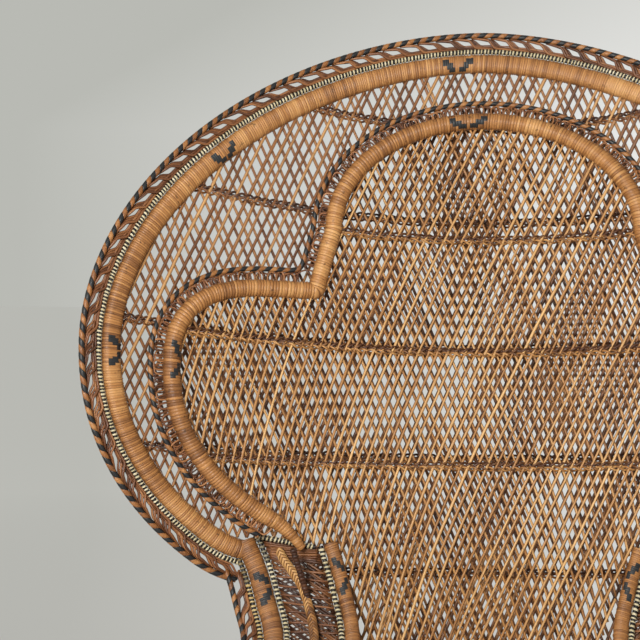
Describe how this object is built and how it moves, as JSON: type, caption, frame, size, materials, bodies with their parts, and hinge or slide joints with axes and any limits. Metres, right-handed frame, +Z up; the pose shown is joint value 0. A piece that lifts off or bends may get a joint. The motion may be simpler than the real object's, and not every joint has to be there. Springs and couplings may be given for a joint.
{
  "type": "peacock chair",
  "caption": "Peacock chair of bound rattan poles and woven cane, with a hollowed fan back, trefoil inner net and hourglass base.",
  "frame": {"origin": "on the floor, under the middle of the whole chair's box", "axes": "+Z up, -Y towards the front of the chair, +X to the right of someone facing the chair"},
  "size_m": [1.0942, 0.6944, 1.435],
  "materials": {
    "bound_cane": "poles bound with split cane, satin varnish",
    "striped_cane": "rod bound in pale and black stripes, satin",
    "two_tone_cane": "rod bound in tan and black cane, satin",
    "brown_cane": "reddish brown split cane, satin varnish",
    "straw_cane": "honey coloured cane, satin varnish",
    "pole": "peeled rattan pole, satin varnish"
  },
  "bodies": {
    "root": {"back_hoop": "bound_cane", "hoop_piping": "striped_cane", "edge_rope": "two_tone_cane", "hoop_loops": "brown_cane", "trefoil_tube": "bound_cane", "trefoil_rope": "two_tone_cane", "trefoil_loops": "brown_cane", "back_net": "brown_cane", "front_net": "straw_cane", "back_row_1": "brown_cane", "back_row_2": "brown_cane", "back_row_3": "brown_cane", "back_row_4": "brown_cane", "back_row_5": "brown_cane", "front_row_1": "brown_cane", "front_row_2": "brown_cane", "front_row_3": "brown_cane", "left_outer_rail": "bound_cane", "left_inner_rail": "bound_cane", "left_outer_piping": "striped_cane", "left_middle_piping": "striped_cane", "left_inner_piping": "striped_cane", "left_arm_rope": "two_tone_cane", "left_arm_loops": "brown_cane", "left_arm_strands": "brown_cane", "left_arm_rib": "bound_cane", "left_outer_wall": "brown_cane", "left_inner_wall": "straw_cane", "left_corner_bar": "brown_cane", "left_corner_piping": "striped_cane", "left_corner_post": "bound_cane", "right_outer_rail": "bound_cane", "right_inner_rail": "bound_cane", "right_outer_piping": "striped_cane", "right_middle_piping": "striped_cane", "right_inner_piping": "striped_cane", "right_arm_rope": "two_tone_cane", "right_arm_loops": "brown_cane", "right_arm_strands": "brown_cane", "right_arm_rib": "bound_cane", "right_outer_wall": "brown_cane", "right_inner_wall": "straw_cane", "right_corner_bar": "brown_cane", "right_corner_piping": "striped_cane", "right_corner_post": "bound_cane", "seat_ring": "bound_cane", "seat_weave": "straw_cane", "seat_bar_1": "pole", "seat_bar_2": "pole", "seat_bar_3": "pole", "waist_ring": "bound_cane", "foot_ring": "bound_cane", "base_upper_net": "straw_cane", "base_lower_net": "straw_cane", "base_post_1": "pole", "base_post_2": "pole", "base_post_3": "pole", "base_post_4": "pole"}
  },
  "joints": []
}
